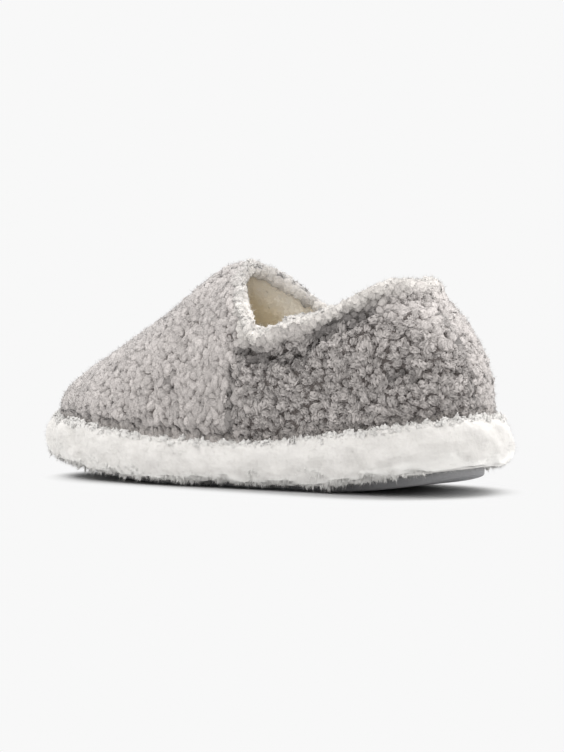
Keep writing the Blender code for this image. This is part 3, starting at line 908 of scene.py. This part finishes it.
def buildUpper(grey, cream):
    bm = nodeCopy("upper")
    corners = np.array([v.co[:] for v in bm.verts])
    outer = outwardness(corners, np.array([v.normal[:] for v in bm.verts])) > 0
    tree = rimTree(bm, outer)
    turnIn = upperPile["turnIn"] * mm
    underside = upperPile["underside"]

    def isOutside(centre, normal):
        isOuterFace = faceOutwardness(centre, normal) > 0 and normal.z > underside
        return isOuterFace or tree.find(centre)[2] < 2 * turnIn

    def isInside(centre, normal):
        return faceOutwardness(centre, normal) <= 0 and normal.z > underside

    hem, hemOuts = hemPoints(bm)
    outside = patchOf(bm, isOutside)
    inside = patchOf(bm, isInside)
    mesh = upperShell(bm, outer, tree)
    bm.free()
    finishPiece("upperBacking", mesh, grey, ["upper"])
    mesh.materials.append(cream)
    places, outs = scatter(outside, upperPile["spacing"] * mm, 11)
    places = np.concatenate([places, hem])
    outs = np.concatenate([outs, hemOuts])
    crest = fromCrest(places, tree)
    edge = upperPile["crestGap"] * mm
    isPlush = (outwardness(places, outs) > 0) | (crest > edge) & (crest < turnIn - edge)
    isPlush &= creaseDepth(places) < upperPile["hole"]
    places, outs, crest = places[isPlush], outs[isPlush], crest[isPlush]
    spots, isFelted = curlSpots(places, outs, rimShare(places, tree), crest, 12)
    curly = [curlShape(seed, 13, seed > 5, tuft["ball"]) for seed in range(8)]
    felted = [curlShape(20 + seed, 6, False, 0.9, 1.5) for seed in range(6)]
    shapes = curly + felted
    rng = np.random.default_rng(13)
    count = len(places)
    pickFelted = rng.integers(len(curly), len(shapes), count)
    pick = np.where(isFelted, pickFelted, rng.integers(0, len(curly), count))
    isVamp = places[:, 1] < upperPile["seamY"] * mm
    isOuter = places[:, 0] > 0
    quarters = {"vampOuter": isVamp & isOuter, "vampInner": isVamp & ~isOuter,
                "quarterOuter": ~isVamp & isOuter, "quarterInner": ~isVamp & ~isOuter}
    limit = liningLimit(inside, tree)
    for seed, (name, mask) in enumerate(quarters.items()):
        part = {key: value[mask] for key, value in spots.items()}
        curls = joinCopies(name + "Curls", shapes, pick[mask], part, limit)
        finishPiece(name + "Curls", curls, grey)
        loose = frizzMesh(name + "Frizz", curls, upperPile["frizz"], upperPile["fibre"], 100 + seed)
        finishPiece(name + "Frizz", loose, grey)
    buildLining(inside, tree, cream)


# Fleece: low soft tufts that lie any way
fleece = {
    "wide": (2.6, 3.4), "stray": 0.15, "lift": 0.8, "soft": 0.97,
    "kinds": 5, "fibres": 6, "fat": 1.6,  # shapes of tuft, and their few fat fibres
}


def fleeceMesh(name, places, outs, deep, pad, seed, firstShape):
    seeds = range(firstShape, firstShape + fleece["kinds"])
    shapes = [curlShape(n, fleece["fibres"], False, 0, fleece["fat"]) for n in seeds]
    rng = np.random.default_rng(seed)
    count = len(places)
    wide = rng.uniform(*fleece["wide"], count)
    spots = {
        "place": places - outs * pad["sink"] * mm,
        "out": outs + rng.normal(0, fleece["stray"], (count, 3)),
        "cloth": outs,
        "along": rng.normal(0, 1, (count, 3)),
        "size": np.stack([wide, wide, rng.uniform(*pad["high"], count)], 1) * mm,
        "shade": rng.random(count),
        "second": deep,
        "lift": np.full(count, fleece["lift"]),
        "soft": np.full(count, fleece["soft"]),
    }
    return joinCopies(name, shapes, rng.choice(len(shapes), count), spots)


# Fleece inside the upper, below the plush that is turned in
lining = {"spacing": 3.0, "high": (1.3, 1.7), "sink": 1.6, "overlap": 1}  # mm


def buildLining(patch, tree, cream):
    places, outs = scatter(patch, lining["spacing"] * mm, 22)
    below = fromCrest(places, tree) > (upperPile["turnIn"] - lining["overlap"]) * mm
    deep = paintedDeepShade(places[below], tree)
    tufts = fleeceMesh("liningFleece", places[below], outs[below], deep, lining, 21, 40)
    finishPiece("liningFleece", tufts, cream)


# Insole sock: a padded pad under the same fleece
sock = {
    "spacing": 3.2, "high": (1.2, 1.6), "sink": 1.4, "padDepth": 0.5,  # mm
    "fill": 0.8,
    "deep": 0.5,        # its share of the second colour, a painted shade
    "topFaces": 0.5,    # faces that look up more than this carry fleece
    "topCorners": 0.3,  # and corners that do are pressed down under it
}


def buildInsole(cream):
    bm = nodeCopy("insole")
    top = patchOf(bm, lambda c, n: n.z > sock["topFaces"])
    for v in bm.verts:
        if v.normal.z > sock["topCorners"]:
            v.co -= v.normal * sock["padDepth"] * mm
    mesh = bpy.data.meshes.new("insolePad")
    bm.to_mesh(mesh)
    bm.free()
    addPile(mesh, evenPile(len(mesh.vertices), sock["deep"]))
    mesh.shade_smooth()
    pad = finishPiece("insolePad", mesh, cream, ["insole"])
    places, outs = scatter(top, sock["spacing"] * mm, 32)
    deep = np.full(len(places), sock["deep"])
    tufts = fleeceMesh("insoleFleece", places, outs, deep, sock, 31, 50)
    finishPiece("insoleFleece", tufts, cream)


# White wrap round the sole: long soft pile, felted smooth, upright round the upper and ragged at the bottom
wrap = {
    "cuts": 2,                # each side of a CAD triangle is cut in this many places
    "swells": ((13.0, 0.6), (6.5, 0.55), (3.2, 0.35)),  # mm, wavelength and depth of the lumps in the pile
    "flat": 0.93,             # where it looks up or down more than this there are no lumps
    "lumpPaintedLight": 0.4,          # painted light: tone that a lump of 1 mm adds, and painted shade where it sinks
    "cover": 2.5,             # mm, closer than this to another piece there are no wisps
    "overhang": 4.0,          # mm from the outsole's side, where wisps hang over it
    "floorGap": 0.4,          # mm that the pile keeps off the floor
    # pale is the wisps' share of the whiter second colour, a painted light where they lie in shade
    "ledge": {
        "spacing": 2.5, "long": (1.0, 2.9), "wide": (2.0, 3.2), "rise": 1, "flare": 0.15, "stray": 0.35,
        "pale": 0.25, "lift": 0.75, "aside": 1.0,
    },
    "fringe": {
        "spacing": 2.0, "long": (0.8, 3.2), "wide": (1.5, 2.7), "rise": -1, "flare": 0.35, "stray": 0.3,
        "pale": 0.8, "lift": 0.4, "aside": 0.0,
    },
    "ledgeFaces": 0.6,        # faces that look up more than this carry the ledge's wisps
    "fringeFaces": -0.2,      # faces that look down more than this carry the fringe
    "bottomFaces": -0.8,      # and more than this only close to the outsole
    "fringeTop": 11.5,        # mm, no wisps hang from higher up
    "fringeFade": (18, 9),    # mm, wisps are short where toe and heel lift off
    "fringeLift": 0.7,        # share of the ragged edge's lift that the wisps take on
    "patchy": (0.8, 0.9, 7),  # length of wisps everywhere, and more here and there, with the wavelength in mm
    "leastLong": 0.8,         # mm
    "thin": 0.8,              # a wisp's thickness as a share of its width
    "turn": 0.3,
    "rootDepth": 1.4,         # mm below the skin
    "ragged": (1.2, 1.6),     # mm that the lower edge is off the ground everywhere, and more here and there
    "raggedTop": (14, 7),     # mm, above and below this height nothing and all of it
    "raggedFaces": (-0.3, -0.7),
    "toeBack": 0.9,           # mm that the pile at the toe's end is pressed in
    "toeEnd": (-118, -132),   # mm, y
    "middleLine": (-75, 65),  # mm, y of the line that wisps on the ledge look away from
    # faces that look down between these get the whiter second colour, a painted light
    "paintedLightFaces": (0.0, -0.5),
    "underSoft": 0.85,        # how far the rounded lower side is shaded as an upright one
    "underFaces": ((-0.1, -0.5), (-0.97, -0.85)),
    "frizz": 15000,           # loose fibres on the skin, and on the fringe
    "wispSoft": 0.95,
    "fibre": {"length": (0.9, 2.4), "radius": 0.06, "stray": 0.6, "droop": 0.3, "soft": 0.97},
}


def bareOfNeighbours(names, direction):
    trees = [nodeTree(name) for name in names]
    way = Vector(direction)

    def isBare(place):
        return all(tree.ray_cast(place, way, wrap["cover"] * mm)[0] is None for tree in trees)
    return isBare


# How far the lower edge is off the ground, in mm
def raggedLift(places):
    least, more = wrap["ragged"]
    lift = least + more * smooth(-0.2, 0.5, waves(places, 6, 9.1))
    return lift * smooth(*wrap["raggedTop"], places[:, 2] / mm)


def wrapSkin(bm):
    bmesh.ops.subdivide_edges(bm, edges=bm.edges, cuts=wrap["cuts"], use_grid_fill=True, smooth=0)
    bmesh.ops.triangulate(bm, faces=bm.faces)
    bm.normal_update()
    places = np.array([v.co[:] for v in bm.verts])
    falls = np.array([v.normal.z for v in bm.verts])
    rise = sum(depth * waves(places, length, 4 + length) for length, depth in wrap["swells"])
    ragged = raggedLift(places) * smooth(*wrap["raggedFaces"], falls)
    pressed = wrap["toeBack"] * smooth(*wrap["toeEnd"], places[:, 1] / mm)
    for v, lump, lift in zip(bm.verts, rise - pressed, ragged):
        if abs(v.normal.z) < wrap["flat"]:
            v.co += v.normal * lump * mm
        v.co.z = max(v.co.z + lift * mm, wrap["floorGap"] * mm)
    mesh = bpy.data.meshes.new("wrapSkin")
    bm.to_mesh(mesh)
    tone = evenPile(len(places), 0.0)
    # painted light on the lumps and on faces that look down, painted shade in the hollows
    tone[:, 0] += wrap["lumpPaintedLight"] * rise
    tone[:, 2] = smooth(*wrap["paintedLightFaces"], falls)
    addPile(mesh, tone)
    mesh.shade_smooth()
    normals = np.array([n.vector[:] for n in mesh.vertex_normals])
    start, end = wrap["underFaces"]
    soft = wrap["underSoft"] * smooth(*start, falls) * smooth(*end, falls)
    softenShading(mesh, unit(normals * (1, 1, 0) + (0, 0, 0.25)), soft[:, None])
    return mesh


# Wisps that stand on the ledge or hang from the lower edge, longer here and shorter there
def wispSpots(places, outs, look, seed):
    rng = np.random.default_rng(seed)
    count = len(places)
    upright = np.array([0, 0, float(look["rise"])])
    least, more, wavelength = wrap["patchy"]
    long = rng.uniform(*look["long"], count) * (least + more * waves(places, wavelength, 8.8))
    if look["rise"] < 0:
        long *= smooth(*wrap["fringeFade"], places[:, 2] / mm)
        places = places + wrap["fringeLift"] * raggedLift(places)[:, None] * (0, 0, mm)
    long = np.maximum(long, wrap["leastLong"]) + wrap["rootDepth"]
    wide = rng.uniform(*look["wide"], count)
    y = places[:, 1]
    low, high = (end * mm for end in wrap["middleLine"])
    aside = unit(np.stack([places[:, 0], y - np.clip(y, low, high), np.zeros(count)], 1))
    return {
        "place": places - outs * wrap["rootDepth"] * mm,
        "out": upright + look["flare"] * outs * (1, 1, 0) + rng.normal(0, look["stray"], (count, 3)),
        "cloth": unit(outs * (1, 1, 0.6) + (0, 0, 0.2) + look["aside"] * aside),
        "along": np.cross(outs, upright) + rng.normal(0, wrap["turn"], (count, 3)),
        "size": np.stack([wide, wide * wrap["thin"], long], 1) * mm,
        "shade": rng.random(count),
        "second": np.full(count, look["pale"]),
        "lift": np.full(count, look["lift"]),
        "soft": np.full(count, wrap["wispSoft"]),
    }


def keepOffFloor(points):
    points[:, 2] = np.maximum(points[:, 2], wrap["floorGap"] * mm)


def wispMesh(name, shapes, patch, look, seed):
    places, outs = scatter(patch, look["spacing"] * mm, seed)
    pick = np.random.default_rng(seed + 1).choice(len(shapes), len(places))
    return joinCopies(name, shapes, pick, wispSpots(places, outs, look, seed + 2), keepOffFloor)


def buildWrap(white):
    bm = nodeCopy("midsole")
    freeBelow = bareOfNeighbours(("outsole",), (0, 0, -1))
    freeAbove = bareOfNeighbours(("upper", "insole"), (0, 0, 1))
    outsole = nodeTree("outsole")

    def isEdge(centre, normal):
        if normal.z >= wrap["fringeFaces"] or centre.z >= wrap["fringeTop"] * mm or not freeBelow(centre):
            return False
        isSide = normal.z > wrap["bottomFaces"]
        return isSide or outsole.find_nearest(centre)[3] < wrap["overhang"] * mm

    edge = patchOf(bm, isEdge)
    top = patchOf(bm, lambda c, n: n.z > wrap["ledgeFaces"] and freeAbove(c))
    skin = wrapSkin(bm)
    bm.free()
    finishPiece("wrapSkin", skin, white, ["midsole"])
    wisps = [wispShape(70 + seed, 7) for seed in range(6)]
    curls = [curlShape(80 + seed, 6, False, tuft["ball"], 1.4) for seed in range(4)]
    ledge = wispMesh("wrapLedge", wisps[:3] + curls, top, wrap["ledge"], 51)
    finishPiece("wrapLedge", ledge, white)
    fringe = wispMesh("wrapFringe", wisps, edge, wrap["fringe"], 44)
    finishPiece("wrapFringe", fringe, white)
    for seed, (name, source) in enumerate((("wrapFrizz", skin), ("fringeFrizz", fringe))):
        loose = frizzMesh(name, source, wrap["frizz"], wrap["fibre"], 110 + seed)
        finishPiece(name, loose, white)


# Outsole: a shallow recess inside a plain edge, with low round studs for grip
tread = {
    "edge": 4.0, "recess": 0.45, "pitch": 7.0, "radius": 2.3, "stud": 0.4, "clear": 3.4,  # mm
    "sides": 12,
    "sunk": 0.4,                 # mm of a stud that is inside the rubber
    "taper": 0.85,               # a stud's end as a share of its foot
    "level": -0.985,             # the recess is where the rubber faces down at least this much
    "sharp": 40,                 # degrees, edges with more than this show as edges
    "heelRound": (95, 110),      # mm, y where the heel's lower edge is rounded off
    "roundFaces": (-0.2, -0.6),  # how far down it looks there
    "roundShare": 1.5,
    "heelMiddle": 60,            # mm, y
}


# The heel's lower edge is shaded as a soft round one
def roundHeel(mesh):
    normals = np.array([n.vector[:] for n in mesh.corner_normals])
    corners = np.array([mesh.vertices[loop.vertex_index].co[:] for loop in mesh.loops])
    aside = unit((corners - (0, tread["heelMiddle"] * mm, 0)) * (1, 1, 0) + (0, 0, 1e-6))
    share = smooth(*tread["heelRound"], corners[:, 1] / mm) * smooth(*tread["roundFaces"], normals[:, 2])
    mesh.normals_split_custom_set(unit(normals + tread["roundShare"] * share[:, None] * aside))


def buildOutsole(rubber):
    bm = nodeCopy("outsole")
    under = [f for f in bm.faces if f.normal.z < tread["level"]]
    bmesh.ops.inset_region(bm, faces=under, thickness=tread["edge"] * mm, depth=-tread["recess"] * mm,
                           use_even_offset=True, use_boundary=True)
    bm.normal_update()
    bm.faces.index_update()
    recessed = {f.index for f in under}
    surface = BVHTree.FromBMesh(bm)
    up = Vector((0, 0, 1))

    def underAt(x, y):
        hit, normal, index, gap = surface.ray_cast(Vector((x, y, -10)) * mm, up)
        return (hit, normal) if index in recessed else None

    low, high = ([part / mm for part in corner] for corner in cadBox)
    rows = np.arange(low[1], high[1], tread["pitch"] * math.sqrt(3) / 2)
    reach = tread["clear"]
    ring = [(reach * math.cos(math.tau * k / 6), reach * math.sin(math.tau * k / 6)) for k in range(6)]
    studs = 0
    for n, y in enumerate(rows):
        for x in np.arange(low[0] + n % 2 * tread["pitch"] / 2, high[0], tread["pitch"]):
            middle = underAt(x, y)
            if not middle or not all(underAt(x + across, y + along) for across, along in ring):
                continue
            place, normal = middle
            shape = normal.to_track_quat("Z", "Y").to_matrix().to_4x4()
            shape.translation = place + normal * (tread["stud"] - tread["sunk"]) / 2 * mm
            bmesh.ops.create_cone(bm, cap_ends=True, segments=tread["sides"], radius1=tread["radius"] * mm,
                                  radius2=tread["taper"] * tread["radius"] * mm,
                                  depth=(tread["stud"] + tread["sunk"]) * mm, matrix=shape)
            studs += 1
    bmesh.ops.triangulate(bm, faces=bm.faces)
    for v in bm.verts:
        v.co.z = max(v.co.z, 0)
    mesh = bpy.data.meshes.new("outsoleRubber")
    bm.to_mesh(mesh)
    bm.free()
    mesh.set_sharp_from_angle(angle=math.radians(tread["sharp"]))
    roundHeel(mesh)
    print("studs:", studs)
    finishPiece("outsoleRubber", mesh, rubber, ["outsole"])


addCamera()
addStudio()
print("camera and studio ready")
grey, white, cream = (plushMaterial(look) for look in (greyPlush, whitePlush, creamFleece))
buildUpper(grey, cream)
buildInsole(cream)
buildWrap(white)
buildOutsole(rubberMaterial())
